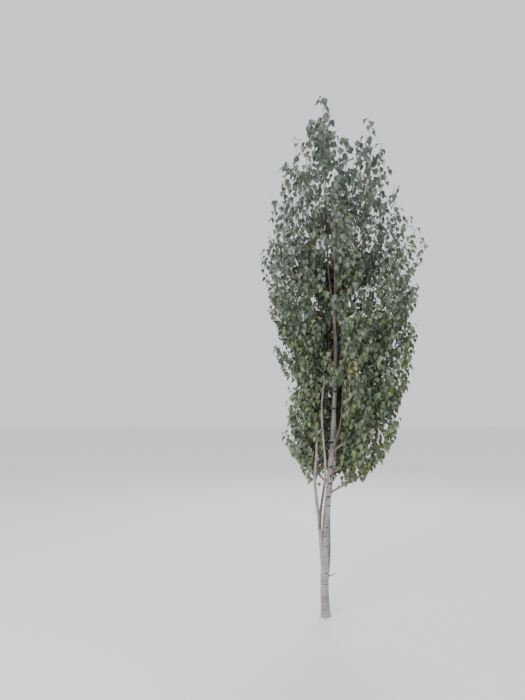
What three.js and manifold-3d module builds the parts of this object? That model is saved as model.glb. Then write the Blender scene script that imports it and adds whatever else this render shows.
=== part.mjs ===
// A young birch, about five metres tall, with one foot, a leaning trunk and three lesser stems.
// Steep boughs climb from them into upright, egg-shaped masses of foliage, which together make a
// narrow crown that leans to the right and ends in spires. Each mass is one solid: a shoot, twigs
// that leave it in a spiral and turn upwards, and large leaves fused on, each standing for a spray.
// Millimetres. Seen from the front, +X is right, +Y is away and +Z is up. The origin is the centre
// of the flat cut at ground level.
import * as THREE from "three";
import { mergeVertices } from "three/addons/utils/BufferGeometryUtils.js";
import Module from "manifold-3d";

const wasm = await Module();
wasm.setup();

// The whole tree
const TREE_TOP = 5030;
const GAP = 0.3;
const GOLDEN_ANGLE = THREE.MathUtils.degToRad(137.5);
const UP = new THREE.Vector3(0, 0, 1);

// The trunk: its line, from the ground to where the leader's foliage takes over, and its taper
const TRUNK_LINE = [
  [0, 0, 0],
  [-4, 0, 300],
  [14, 0, 790],
  [57, 4, 1180],
  [105, 8, 1790],
  [136, 8, 2350],
  [124, 4, 2720],
  [76, 0, 3200],
  [62, 0, 4080],
];
const TRUNK_FOOT_RADIUS = 38;
const TRUNK_TAPER = 1.3;
const TRUNK_TIP_RADIUS = 1;
const FLARE_RADIUS = 8;
const FLARE_HEIGHT = 70;
const FLARE_LOBES = 3;
const FLARE_LOBE_SHARE = 0.45;
const FLARE_TURN = 0.6;

// The lesser stems: what each leaves, its line until foliage hides it, and its radii
const STEMS = [
  {
    name: "left_stem",
    from: "trunk",
    line: [
      [2, -6, 260],
      [-26, -20, 520],
      [-46, -32, 790],
      [-78, -44, 1080],
      [-86, -50, 1230],
      [-66, -56, 1480],
      [-78, -52, 1740],
    ],
    foot: 20,
    tip: 8,
  },
  {
    name: "inner_stem",
    from: "left_stem",
    line: [
      [-44, -34, 760],
      [-34, -62, 950],
      [-4, -84, 1160],
      [6, -104, 1330],
      [-12, -122, 1590],
      [-22, -128, 1740],
      [-20, -132, 1910],
      [8, -136, 2125],
    ],
    foot: 13,
    tip: 6,
  },
  {
    name: "rear_stem",
    from: "trunk",
    line: [
      [14, 8, 260],
      [46, 46, 500],
      [56, 78, 830],
      [76, 132, 1250],
      [92, 226, 1750],
    ],
    foot: 14,
    tip: 6,
  },
];

// A broken side twig low on the trunk
const STUB = { height: 330, azimuth: -12, length: 62, radius: 5.5, rise: 0.45, taper: 1.4 };

// The crown's masses, tier by tier: each fills an upright egg whose centre is at this reach from the
// crown's middle line. stems says which lesser stem runs into which of a tier's masses. A bough climbs
// at slope to a root low in its egg, on the side of the egg that faces the trunk.
const CROWN_SHIFT = 85;
const EGG_ASPECT = 2.35;
const EGG_BLUNTNESS = 5;
const EGG_POINT = 1.2;
const TIERS = [
  { name: "skirt", count: 4, centre: 1860, reach: 320, radius: 240, first: 64, slope: 0.6, stems: [] },
  {
    name: "low",
    count: 5,
    centre: 2450,
    reach: 440,
    radius: 265,
    first: 36,
    slope: 0.9,
    stems: [null, "rear_stem", "left_stem"],
  },
  { name: "middle", count: 6, centre: 3190, reach: 590, radius: 295, first: 25, slope: 0.9, stems: [] },
  { name: "upper", count: 5, centre: 3800, reach: 490, radius: 262, first: 8, slope: 0.9, stems: [] },
  { name: "top", count: 4, centre: 4260, reach: 390, radius: 215, first: 337, slope: 0.9, stems: [] },
  {
    name: "leader",
    count: 1,
    centre: 4540,
    reach: 0,
    radius: 218,
    first: 0,
    slope: 0,
    stems: ["trunk"],
  },
];
const CROWN_SEED = 3;
const AZIMUTH_PLAY = 9;
const REACH_PLAY = 0.08;
const HEIGHT_PLAY = 75;

// The boughs
const BOUGH_STAGGER = 140;
const GOLDEN_SHARE = 0.618;
const ROOT_DEPTH = 0.84;
const ROOT_INSET = 0.3;
const BOUGH_LEAVE_SLOPE = 0.8;
const BOUGH_HANDLE = 0.4;
const BOUGH_END_LEAN = 0.25;
const BOUGH_TIP_RADIUS = 6.5;
const BOUGH_THICKENING = 0.006;
const BOUGH_TRUNK_SHARE = 0.6;
const BOUGH_TAPER = 0.78;

// The shoot, twigs and leaves of a mass
const SHOOT_TOP = 0.96;
const SHOOT_STEPS = 3;
const SHOOT_HANDLE = 0.35;
const SHOOT_RADIUS = 7;
const SHOOT_TIP_RADIUS = 3.8;
const SHOOT_LEAVES = 8;
const SHOOT_FIRST_LEAF = 0.06;
const SHOOT_LAST_LEAF = 0.995;
const TWIGS = 7;
const TWIG_FIRST = 0.05;
const TWIG_SPAN = 0.77;
const TWIG_STEP = 60;
const TWIG_STEPS = 7;
const TWIG_BENDS = 2;
const TWIG_RISE = 0.25;
const TWIG_TURN_UP = 0.2;
const TWIG_RADIUS = 4.2;
const TWIG_TIP_RADIUS = 3.8;
const TWIG_TRIES = 4;
const TWIG_TRY_TURN = 0.7;
const TWIG_CLEARANCE = 14;
const LIMB_CLEARANCE = 4;
const LEAF_LENGTH = 186;
const LEAF_WIDTH = 144;
const LEAF_THICKNESS = 8;
const LEAF_WIDEST = 0.4;
const LEAF_THICKEST = 0.14;
const LEAF_DROOP = 1.05;
const LEAF_DROOP_PLAY = 0.6;
const LEAF_ROLL_PLAY = 0.8;
const LEAF_TRIES = 16;
const LEAF_SPACING = 96;
const LEAF_END = 6;
const LEAF_LEAST_SUNK = 0.8;
const LEAF_MOST_SUNK = 30;
const LEAF_SIDE_ANGLE = 1.2;
const LEAF_SIDE_PLAY = 1.3;
const LEAF_TIP_PLAY = 0.6;
const LEAF_OVERHANG = 78;
const CELL_CLEARANCE = 1.5;

const BARK = { color: 0xcfcac4, roughness: 0.75, metalness: 0 };
const FOLIAGE = { color: 0x4d6137, roughness: 0.55, metalness: 0 };

const tree = new THREE.Group();
const lerp = THREE.MathUtils.lerp;

// Numbers from 0 to 1 in an order fixed by the seed
function seeded(seed) {
  let state = Math.imul(seed, 2654435761) >>> 0;
  return () => {
    state = (Math.imul(state, 1664525) + 1013904223) >>> 0;
    return state / 4294967296;
  };
}

// A geometry as a solid that can be cut and joined
function solidOf(geometry) {
  const bare = geometry.clone();
  bare.deleteAttribute("normal");
  bare.deleteAttribute("uv");
  const merged = mergeVertices(bare, 1e-3);
  return new wasm.Manifold(
    new wasm.Mesh({
      numProp: 3,
      vertProperties: merged.attributes.position.array,
      triVerts: new Uint32Array(merged.index.array),
    }),
  );
}

// A solid's mesh as a geometry
function geometryOf(solid) {
  const { numProp, numVert, vertProperties, triVerts } = solid.getMesh();
  const positions = new Float32Array(numVert * 3);
  for (let i = 0; i < numVert; i++) {
    positions.set(vertProperties.subarray(i * numProp, i * numProp + 3), i * 3);
  }
  return new THREE.BufferGeometry()
    .setAttribute("position", new THREE.BufferAttribute(positions, 3))
    .setIndex(new THREE.BufferAttribute(triVerts, 1));
}

// The largest of a solid's bodies: loose scraps and sealed hollows are dropped
function largestBody(solid) {
  return solid.decompose().reduce((a, b) => (b.volume() > a.volume() ? b : a));
}

const meets = (solid, others) => others.some((other) => !other.intersect(solid).isEmpty());

function addNode(name, solid, look) {
  const mesh = new THREE.Mesh(geometryOf(solid), new THREE.MeshStandardMaterial(look));
  mesh.name = name;
  tree.add(mesh);
}

// A closed round limb: a cylinder of unit size bent along a curve, with its own radius at each step.
// extra moves its sides out by as much.
function limbSolid(curve, radiusAt, sides, steps, extra = 0) {
  const more = extra / Math.cos(Math.PI / sides);
  const geometry = new THREE.CylinderGeometry(1, 1, 1, sides, steps);
  const frames = curve.computeFrenetFrames(steps);
  const positions = geometry.attributes.position;
  const point = new THREE.Vector3();
  for (let i = 0; i < positions.count; i++) {
    const share = positions.getY(i) + 0.5;
    const step = Math.round(share * steps);
    const radius = radiusAt(share) + more;
    curve.getPointAt(share, point);
    point.addScaledVector(frames.normals[step], positions.getX(i) * radius);
    point.addScaledVector(frames.binormals[step], -positions.getZ(i) * radius);
    positions.setXYZ(i, point.x, point.y, point.z);
  }
  return solidOf(geometry);
}

// A closed upright limb with level sections, so that its foot is a flat cut
function uprightSolid(curve, radiusAt, sides, steps, extra) {
  const more = extra / Math.cos(Math.PI / sides);
  const geometry = new THREE.CylinderGeometry(1, 1, 1, sides, steps);
  const positions = geometry.attributes.position;
  const point = new THREE.Vector3();
  for (let i = 0; i < positions.count; i++) {
    const share = positions.getY(i) + 0.5;
    const across = positions.getX(i);
    const depth = -positions.getZ(i);
    curve.getPoint(share, point);
    const radius = radiusAt(share, point.z, Math.atan2(depth, across)) + more;
    positions.setXYZ(i, point.x + across * radius, point.y + depth * radius, point.z);
  }
  return solidOf(geometry);
}

// A point on the straight-sided axis of a limb that was made in this many steps
function onAxis(curve, steps, share) {
  const step = Math.min(Math.floor(share * steps), steps - 1);
  const from = curve.getPointAt(step / steps);
  return from.lerp(curve.getPointAt((step + 1) / steps), share * steps - step);
}

const curveThrough = (points) =>
  new THREE.CatmullRomCurve3(
    points.map((p) => new THREE.Vector3(...p)),
    false,
    "centripetal",
  );

// Every limb and shoot, as a centreline with a radius at each point, for the tests of clearance.
// grown makes a wood limb's solid with an extra radius, to cut what grows from it.
const limbs = new Map();

function recordLimb(name, curve, radiusAt, samples, grown) {
  const line = Array.from({ length: samples + 1 }, (_, i) => curve.getPointAt(i / samples));
  const radii = line.map((p, i) => radiusAt(i / samples, p.z, 0));
  limbs.set(name, { line, radii, grown });
}

// The point of a limb's centreline at a height
function lineAt(name, height) {
  const { line } = limbs.get(name);
  let i = 1;
  while (i < line.length - 1 && line[i].z < height) i++;
  const share = (height - line[i - 1].z) / (line[i].z - line[i - 1].z);
  return line[i - 1].clone().lerp(line[i], share);
}

const segment = new THREE.Line3();
const nearest = new THREE.Vector3();

// True where a point keeps this far from the bark of every limb but one
function clearOfLimbs(point, clearance, except) {
  for (const [name, { line, radii }] of limbs) {
    if (name === except) continue;
    for (let i = 1; i < line.length; i++) {
      segment.set(line[i - 1], line[i]).closestPointToPoint(point, true, nearest);
      if (nearest.distanceTo(point) < radii[i - 1] + clearance) return false;
    }
  }
  return true;
}

function trunkRadius(share, height, angle) {
  const flare = FLARE_RADIUS * Math.exp(-height / FLARE_HEIGHT);
  const lobes = 1 + FLARE_LOBE_SHARE * Math.cos(FLARE_LOBES * angle + FLARE_TURN);
  const taper = TRUNK_FOOT_RADIUS * (1 - height / TREE_TOP) ** TRUNK_TAPER;
  return taper + TRUNK_TIP_RADIUS + flare * lobes;
}

// The broken side twig, which is one with the trunk
function stubSolid(extra) {
  const angle = THREE.MathUtils.degToRad(STUB.azimuth);
  const from = lineAt("trunk", STUB.height);
  const out = new THREE.Vector3(Math.cos(angle), Math.sin(angle), STUB.rise);
  const reach = trunkRadius(0, STUB.height, angle) + STUB.length;
  const curve = new THREE.LineCurve3(from, from.clone().addScaledVector(out, reach));
  return limbSolid(curve, (share) => STUB.radius * (STUB.taper - share), 6, 2, extra);
}

function buildTrunk() {
  const curve = curveThrough(TRUNK_LINE);
  const grown = (extra) => uprightSolid(curve, trunkRadius, 11, 18, extra).add(stubSolid(extra));
  recordLimb("trunk", curve, trunkRadius, 80, grown);
  addNode("trunk", grown(0), BARK);
}

// Cuts a limb clear of what it grows from, and of any other limb that it leaves beside
function cutClear(solid, others) {
  const clear = others.reduce((left, name) => left.subtract(limbs.get(name).grown(GAP)), solid);
  return largestBody(clear);
}

function buildStem({ name, from, line, foot, tip }, end) {
  const curve = curveThrough([...line, ...end]);
  const radiusAt = (share) => lerp(foot, tip, share);
  const grown = (extra) => limbSolid(curve, radiusAt, 7, 9, extra);
  addNode(name, cutClear(grown(0), [...new Set([from, "trunk"])]), BARK);
  recordLimb(name, curve, radiusAt, 60, grown);
  return { direction: curve.getTangent(1), radius: tip };
}

// The crown's eggs, in a loop over the tiers
function crownEggs() {
  const random = seeded(CROWN_SEED);
  const play = () => random() * 2 - 1;
  return TIERS.flatMap((tier, t) =>
    Array.from({ length: tier.count }, (_, i) => {
      const turn = tier.first + (360 / tier.count) * i + play() * AZIMUTH_PLAY;
      const azimuth = THREE.MathUtils.degToRad(turn);
      const reach = tier.reach * (1 + play() * REACH_PLAY);
      const height = tier.centre + (tier.count > 1 ? play() * HEIGHT_PLAY : 0);
      const out = new THREE.Vector3(Math.cos(azimuth), Math.sin(azimuth), 0);
      const centre = lineAt("trunk", height).addScaledVector(out, reach);
      centre.x += tier.reach > 0 ? CROWN_SHIFT : 0;
      const half = tier.radius * EGG_ASPECT;
      const inward = lineAt("trunk", height).sub(centre).setZ(0).normalize();
      const root = centre.clone().addScaledVector(inward, tier.reach > 0 ? ROOT_INSET * tier.radius : 0);
      root.z -= ROOT_DEPTH * half;
      const top = centre.clone().addScaledVector(UP, SHOOT_TOP * half);
      const carrier = tier.stems[i] ?? null;
      const label = tier.count > 1 ? `${tier.name}_${i + 1}` : tier.name;
      const stagger = BOUGH_STAGGER * ((i * GOLDEN_SHARE) % 1);
      const seed = 100 * (t + 1) + i;
      const run = lineAt("trunk", root.z).sub(root).setZ(0).length();
      const foot = root.z - tier.slope * run - stagger;
      return { label, carrier, centre, radius: tier.radius, root, top, foot, seed };
    }),
  );
}

// A point's power in an egg, measured with the egg flattened to a ball. Each mass keeps to where its
// own power is the lowest, so the spaces of two masses meet in a plane.
function power(egg, point) {
  const dx = point.x - egg.centre.x;
  const dy = point.y - egg.centre.y;
  const dz = (point.z - egg.centre.z) / EGG_ASPECT;
  return dx * dx + dy * dy + dz * dz - egg.radius ** 2;
}

// How far apart two eggs are in that measure
function apart(a, b) {
  const dz = (a.centre.z - b.centre.z) / EGG_ASPECT;
  return Math.hypot(a.centre.x - b.centre.x, a.centre.y - b.centre.y, dz);
}

// True within an egg's own outline, which is blunt below and pointed above, or this far outside it
function inEgg(egg, point, overhang) {
  const across = Math.hypot(point.x - egg.centre.x, point.y - egg.centre.y);
  const along = (point.z - egg.centre.z) / (egg.radius * EGG_ASPECT + overhang);
  const share = along > 0 ? 1 - along ** EGG_POINT : Math.sqrt(1 - (-along) ** EGG_BLUNTNESS);
  return Math.abs(along) < 1 && across < egg.radius * share + overhang;
}

function inSpace(egg, eggs, point, clearance, overhang = 0) {
  const own = power(egg, point);
  return (
    inEgg(egg, point, overhang) &&
    eggs.every((other) => other === egg || power(other, point) - own > 2 * clearance * apart(egg, other))
  );
}

// A bough from its carrier to its egg's root, and how it arrives there
function buildBough(egg) {
  const { root } = egg;
  const foot = lineAt("trunk", egg.foot);
  const outward = root.clone().sub(foot).setZ(0).normalize();
  const length = root.distanceTo(foot);
  const leave = outward.clone().addScaledVector(UP, BOUGH_LEAVE_SLOPE).normalize();
  const arrive = outward.clone().multiplyScalar(BOUGH_END_LEAN).add(UP).normalize();
  const curve = new THREE.CubicBezierCurve3(
    foot,
    foot.clone().addScaledVector(leave, BOUGH_HANDLE * length),
    root.clone().addScaledVector(arrive, -BOUGH_HANDLE * length),
    root,
  );
  const most = BOUGH_TRUNK_SHARE * trunkRadius(0, foot.z, 0);
  const footRadius = Math.min(BOUGH_TIP_RADIUS + BOUGH_THICKENING * length, most);
  const tipRadius = Math.min(BOUGH_TIP_RADIUS, BOUGH_TAPER * footRadius);
  const radiusAt = (share) => lerp(footRadius, tipRadius, share);
  const grown = (extra) => limbSolid(curve, radiusAt, 5, 3, extra);
  const name = `bough_${egg.label}`;
  const others = [...limbs.keys()].filter((other) => other === "trunk" || other.startsWith("bough"));
  addNode(name, cutClear(grown(0), others), BARK);
  recordLimb(name, curve, radiusAt, 16, grown);
  return { direction: arrive, radius: tipRadius };
}

// A mass's own shoot goes on from the limb that carries it, up to the top of the egg
function recordShoot(egg, { direction, radius }) {
  const start = egg.root.clone().addScaledVector(direction, GAP);
  const length = egg.top.distanceTo(start);
  const curve = new THREE.CubicBezierCurve3(
    start,
    start.clone().addScaledVector(direction, SHOOT_HANDLE * length),
    egg.top.clone().addScaledVector(UP, -SHOOT_HANDLE * length),
    egg.top,
  );
  const thick = Math.min(radius, SHOOT_RADIUS);
  const radiusAt = (share) => lerp(thick, SHOOT_TIP_RADIUS, share);
  const grown = (extra) => limbSolid(curve, radiusAt, 3, SHOOT_STEPS, extra);
  recordLimb(egg.label, curve, radiusAt, 16, grown);
  egg.shoot = curve;
}

// A twig's points: it heads out from the shoot, turns upwards at each step, and stops where its mass's
// space ends or a limb is near
function twigLine(egg, eggs, from, azimuth) {
  const heading = new THREE.Vector3(Math.cos(azimuth), Math.sin(azimuth), TWIG_RISE).normalize();
  const line = [from];
  for (let step = 0; step < TWIG_STEPS; step++) {
    const next = line.at(-1).clone().addScaledVector(heading, TWIG_STEP);
    const free =
      inSpace(egg, eggs, next, TWIG_RADIUS + CELL_CLEARANCE) &&
      clearOfLimbs(next, TWIG_CLEARANCE, egg.label);
    if (!free) break;
    line.push(next);
    heading.addScaledVector(UP, TWIG_TURN_UP).normalize();
  }
  return line;
}

// The longest of a few twigs that could leave a point of the shoot, the first one if it is full length
function longestTwig(egg, eggs, from, first) {
  const choices = Array.from({ length: TWIG_TRIES }, (_, i) => {
    const azimuth = first + i * TWIG_TRY_TURN;
    return { azimuth, line: twigLine(egg, eggs, from.clone(), azimuth) };
  });
  return choices.reduce((a, b) => (b.line.length > a.line.length ? b : a));
}

// A leaf: a pointed blade with a flat face and a keel, with its root at the origin and its tip along +Y
function leafBlade() {
  const half = LEAF_WIDTH / 2;
  const broad = LEAF_WIDEST * LEAF_LENGTH;
  const root = [0, 0, 0];
  const right = [half, broad, 0];
  const tip = [0, LEAF_LENGTH, 0];
  const left = [-half, broad, 0];
  const keel = [0, LEAF_THICKEST * LEAF_LENGTH, -LEAF_THICKNESS];
  const corners = [root, right, tip, left, keel].flat();
  return new THREE.BufferGeometry()
    .setAttribute("position", new THREE.Float32BufferAttribute(corners, 3))
    .setIndex([0, 1, 3, 1, 2, 3, 1, 0, 4, 2, 1, 4, 3, 2, 4, 0, 3, 4]);
}

const BLADE = leafBlade();

// How a leaf hangs from a point of a twig, with its blade turned across the twig's own direction
function leafPlace(at, azimuth, direction, random) {
  const droop = LEAF_DROOP + (random() - 0.5) * LEAF_DROOP_PLAY;
  const along = new THREE.Vector3(
    Math.cos(azimuth) * Math.cos(droop),
    Math.sin(azimuth) * Math.cos(droop),
    -Math.sin(droop),
  );
  const across = new THREE.Vector3().crossVectors(along, direction).normalize();
  across.applyAxisAngle(along, (random() - 0.5) * LEAF_ROLL_PLAY);
  const face = new THREE.Vector3().crossVectors(across, along);
  return new THREE.Matrix4().makeBasis(across, along, face).setPosition(at);
}

// True where the whole leaf keeps to its mass's space, which is convex
function leafFits(egg, eggs, place) {
  const corner = new THREE.Vector3();
  const positions = BLADE.attributes.position;
  for (let i = 0; i < positions.count; i++) {
    corner.fromBufferAttribute(positions, i).applyMatrix4(place);
    if (!inSpace(egg, eggs, corner, CELL_CLEARANCE, LEAF_OVERHANG)) return false;
  }
  return true;
}

// A mass: its shoot and twigs first, then leaves, spiralling up the shoot and alternate along a twig.
// A leaf that would cross another or a twig is turned a little, up to a few times, or left out.
function buildMass(egg, eggs, guard) {
  const random = seeded(egg.seed);
  const shoot = { curve: egg.shoot, steps: SHOOT_STEPS, solid: limbs.get(egg.label).grown(0) };
  const guards = [...limbs.keys()].filter((name) => name !== egg.label).map((name) => guard.get(name));
  const firstTwig = random() * 2 * Math.PI;
  const twigs = [];
  for (let i = 0; i < TWIGS; i++) {
    const from = onAxis(egg.shoot, SHOOT_STEPS, TWIG_FIRST + (TWIG_SPAN * i) / (TWIGS - 1));
    const { azimuth, line } = longestTwig(egg, eggs, from, firstTwig + i * GOLDEN_ANGLE);
    const radiusAt = (share) => lerp(TWIG_RADIUS, TWIG_TIP_RADIUS, share);
    while (line.length > 2) {
      const curve = new THREE.CatmullRomCurve3(line);
      const solid = limbSolid(curve, radiusAt, 3, TWIG_BENDS);
      if (!meets(solid, guards) && !meets(solid, twigs.map((twig) => twig.solid))) {
        twigs.push({ curve, azimuth, steps: TWIG_BENDS, solid });
        break;
      }
      line.pop();
    }
  }
  const leaves = [];
  const hangLeaf = (wood, along, azimuth, turnPlay) => {
    const at = onAxis(wood.curve, wood.steps, along);
    const direction = wood.curve.getTangentAt(along);
    const others = [shoot, ...twigs].filter((other) => other !== wood);
    for (let attempt = 0; attempt < LEAF_TRIES; attempt++) {
      const place = leafPlace(at, azimuth + (random() - 0.5) * turnPlay, direction, random);
      if (!leafFits(egg, eggs, place)) continue;
      const solid = solidOf(BLADE.clone().applyMatrix4(place));
      if (meets(solid, [...others, ...leaves].map((other) => other.solid))) continue;
      if (meets(solid, guards)) continue;
      const sunk = wood.solid.intersect(solid).volume();
      if (sunk > LEAF_MOST_SUNK || sunk < LEAF_LEAST_SUNK) continue;
      leaves.push({ solid });
      return;
    }
  };
  for (const twig of twigs) {
    const length = twig.curve.getLength();
    hangLeaf(twig, 1 - LEAF_END / length, twig.azimuth, LEAF_TIP_PLAY);
    let side = 1;
    for (let at = length - LEAF_SPACING; at > LEAF_SPACING / 2; at -= LEAF_SPACING) {
      hangLeaf(twig, at / length, twig.azimuth + side * LEAF_SIDE_ANGLE, LEAF_SIDE_PLAY);
      side = -side;
    }
  }
  for (let i = 0; i < SHOOT_LEAVES; i++) {
    const along = lerp(SHOOT_FIRST_LEAF, SHOOT_LAST_LEAF, i / (SHOOT_LEAVES - 1));
    hangLeaf(shoot, along, firstTwig - i * GOLDEN_ANGLE, LEAF_SIDE_PLAY);
  }
  const whole = [shoot, ...twigs, ...leaves].map(({ solid }) => solid).reduce((a, b) => a.add(b));
  addNode(`foliage_${egg.label}`, largestBody(whole), FOLIAGE);
}

buildTrunk();
const eggs = crownEggs();
for (const stem of STEMS) {
  const egg = eggs.find(({ carrier }) => carrier === stem.name);
  const top = buildStem(stem, egg ? [egg.root.toArray()] : []);
  if (egg) recordShoot(egg, top);
}
for (const egg of eggs) {
  if (egg.carrier === null) recordShoot(egg, buildBough(egg));
}
const leader = eggs.find(({ carrier }) => carrier === "trunk");
leader.root = limbs.get("trunk").line.at(-1);
recordShoot(leader, { direction: UP, radius: trunkRadius(1, leader.root.z, 0) });
const guard = new Map([...limbs].map(([name, { grown }]) => [name, grown(LIMB_CLEARANCE)]));
for (const egg of eggs) buildMass(egg, eggs, guard);

export default tree;
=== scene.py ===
"""The looks of a young birch, about five metres tall, grown by the same rule as its CAD solids.

The trunk, the lesser stems and the boughs get a skin with the bark's relief. Each foliage mass
becomes a shoot with twigs, side twigs and leaves that keep to the space of its own egg.
Metres. Seen from the front, +X is right, +Y is away and +Z is up.
"""

import math
import bpy
import numpy as np
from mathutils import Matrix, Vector


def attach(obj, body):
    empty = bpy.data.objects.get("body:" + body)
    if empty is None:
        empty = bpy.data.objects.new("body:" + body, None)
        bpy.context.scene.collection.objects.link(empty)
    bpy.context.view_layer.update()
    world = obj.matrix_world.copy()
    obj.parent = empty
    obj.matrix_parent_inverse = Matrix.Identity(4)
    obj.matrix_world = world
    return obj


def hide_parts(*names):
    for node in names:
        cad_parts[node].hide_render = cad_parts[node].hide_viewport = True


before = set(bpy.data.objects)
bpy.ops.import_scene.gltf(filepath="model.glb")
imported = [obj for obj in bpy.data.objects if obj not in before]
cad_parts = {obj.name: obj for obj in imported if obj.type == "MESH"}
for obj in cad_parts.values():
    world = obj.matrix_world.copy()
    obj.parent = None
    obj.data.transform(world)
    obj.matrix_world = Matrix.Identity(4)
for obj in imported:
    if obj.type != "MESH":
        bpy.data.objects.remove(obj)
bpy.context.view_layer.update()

UP = np.array([0.0, 0.0, 1.0])
GOLDEN_ANGLE = math.radians(137.5)

CAMERA_PLACE = (-0.566, -4.8, 1.82)
CAMERA_RISE = math.radians(7)
CAMERA_LENS = 26.0

# The whole tree, its trunk, lesser stems and crown, with the CAD's own sizes
TREE_TOP = 5.03
TRUNK_LINE = [
    (0, 0, 0), (-0.004, 0, 0.3), (0.014, 0, 0.79), (0.057, 0.004, 1.18), (0.105, 0.008, 1.79),
    (0.136, 0.008, 2.35), (0.124, 0.004, 2.72), (0.076, 0, 3.2), (0.062, 0, 4.08),
]
TRUNK_FOOT_RADIUS = 0.038
TRUNK_TAPER = 1.3
TRUNK_TIP_RADIUS = 0.001
FLARE_RADIUS = 0.008
FLARE_HEIGHT = 0.07
FLARE_LOBES = 3
FLARE_LOBE_SHARE = 0.45
FLARE_TURN = 0.6
# A stem's radii are those of its foot and its tip. brown is the share of copper in its bark up to one
# height, with none left at the next. A stem that carries no mass has a tier and a seed for its twigs.
STEMS = {
    "left_stem": {
        "line": [
            (0.002, -0.006, 0.26), (-0.026, -0.02, 0.52), (-0.046, -0.032, 0.79), (-0.078, -0.044, 1.08),
            (-0.086, -0.05, 1.23), (-0.066, -0.056, 1.48), (-0.078, -0.052, 1.74),
        ],
        "radii": (0.02, 0.008),
    },
    "inner_stem": {
        "line": [
            (-0.044, -0.034, 0.76), (-0.034, -0.062, 0.95), (-0.004, -0.084, 1.16), (0.006, -0.104, 1.33),
            (-0.012, -0.122, 1.59), (-0.022, -0.128, 1.74), (-0.02, -0.132, 1.91), (0.008, -0.136, 2.125),
        ],
        "radii": (0.013, 0.006),
        "brown": (0.85, 1.12, 1.26),
        "tier": "low",
        "seed": 203,
    },
    "rear_stem": {
        "line": [
            (0.014, 0.008, 0.26), (0.046, 0.046, 0.5), (0.056, 0.078, 0.83), (0.076, 0.132, 1.25),
            (0.092, 0.226, 1.75),
        ],
        "radii": (0.014, 0.006),
    },
}
STUB = {"height": 0.33, "azimuth": -12, "length": 0.062, "rise": 0.45, "radii": (0.0077, 0.0022)}

CROWN_SHIFT = 0.085
EGG_ASPECT = 2.35
EGG_BLUNTNESS = 5
EGG_POINT = 1.2
# Each tier of masses: its name, how many, their centres' height and reach, their radius, the first
# one's azimuth in degrees, the slope of their boughs, and the stems or trunk that carry some of them
TIERS = [
    ("skirt", 4, 1.86, 0.32, 0.24, 64, 0.6, {}),
    ("low", 5, 2.45, 0.44, 0.265, 36, 0.9, {1: "rear_stem", 2: "left_stem"}),
    ("middle", 6, 3.19, 0.59, 0.295, 25, 0.9, {}),
    ("upper", 5, 3.8, 0.49, 0.262, 8, 0.9, {}),
    ("top", 4, 4.26, 0.39, 0.215, 337, 0.9, {}),
    ("leader", 1, 4.54, 0, 0.218, 0, 0, {0: "trunk"}),
]
CROWN_SEED = 3
AZIMUTH_PLAY = 9
REACH_PLAY = 0.08
HEIGHT_PLAY = 0.075
BOUGH_STAGGER = 0.14
GOLDEN_SHARE = 0.618
ROOT_DEPTH = 0.84
ROOT_INSET = 0.3
BOUGH_LEAVE_SLOPE = 0.8
BOUGH_HANDLE = 0.4
BOUGH_END_LEAN = 0.25
BOUGH_TIP_RADIUS = 0.0065
BOUGH_THICKENING = 0.006
BOUGH_TRUNK_SHARE = 0.6
BOUGH_TAPER = 0.78
SHOOT_TOP = 0.96
SHOOT_HANDLE = 0.35

# The finer growth: twigs spiral up a shoot, side twigs alternate along a twig, leaves along both.
# A pair is the value below and above SPIRE_HEIGHTS or RISE_HEIGHTS.
SHOOT_RADIUS = 0.0065
SHOOT_TIP_RADIUS = 0.0012
SHOOT_BARE_SHARE = 0.1
SPIRE_HEIGHTS = (3.1, 4.1)
TWIGS = (30, 12)
TWIG_FIRST = 0.04
TWIG_SPAN = (0.9, 0.47)
TWIG_STEP = 0.03
TWIG_STEPS = (9, 19)
TWIG_SHORTENING = 0.45
RISE_HEIGHTS = (4.0, 4.6)
TWIG_RISE = (0.5, 1.9)
TWIG_TURN_UP = 0.13
TWIG_WANDER = 0.1
TWIG_RADIUS = 0.0026
TWIG_TIP_RADIUS = 0.0008
TWIG_SIDES = 5
SIDE_SPACING = 0.075
SIDE_STEPS = (3, 6)
SIDE_ANGLE = 0.95
SIDE_RISE = 0.3
SIDE_RADIUS = 0.0014
SIDE_BARE_SHARE = 0.7
SPRAYS = 100
CELL_CLEARANCE = 0.004

# Twigs inside the crown by kind of limb: the share of its length that bears them, what is added to its
# mass's seed, and the least sine of their azimuths, which keeps the trunk's front open. They stand
# further apart above THIN_HEIGHTS and closer in the gaps between tiers.
INSIDE = {
    "trunk": ((0.29, 0.74), 2400, -0.5),
    "stem": ((0.55, 1.0), 4000, -0.3),
    "bough": ((0.15, 1.0), 2300, -1.1),
}
INSIDE_SPACING = 0.031
INSIDE_PLAY = 0.3
INSIDE_STEPS = (7, 19)
THIN_HEIGHTS = (3.2, 3.9)
INSIDE_THINNING = 1.3
TIER_GAPS = [((2.5, 2.7), (3.0, 3.2)), ((1.6, 1.8), (2.05, 2.2))]
INSIDE_CROWDING = 0.45

# The slits on the crown's front, through which the pale trunk shows: wide and whole below
# SLIT_CHANGE, narrow and broken above it
SLIT_SPAN = (1.1, 3.5)
SLIT_CHANGE = (1.9, 2.4)
SLIT_WIDTHS = (0.037, 0.08)
SLIT_WAVES = 11
SLIT_CUT = -0.5

# How leaves are spaced: further apart at the top and at the crown's upper rim
LEAF_SPACING = (0.028, 0.044)
SPACING_HEIGHTS = (3.6, 4.2)
RIM_REACH = (0.22, 0.5)
RIM_FOOT = (2.9, 3.4)
RIM_TOP = (4.1, 4.4)
RIM_THINNING = 1.3
SHOOT_LEAF_SPACING = 0.033
LEAF_SPACING_PLAY = 0.2

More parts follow.
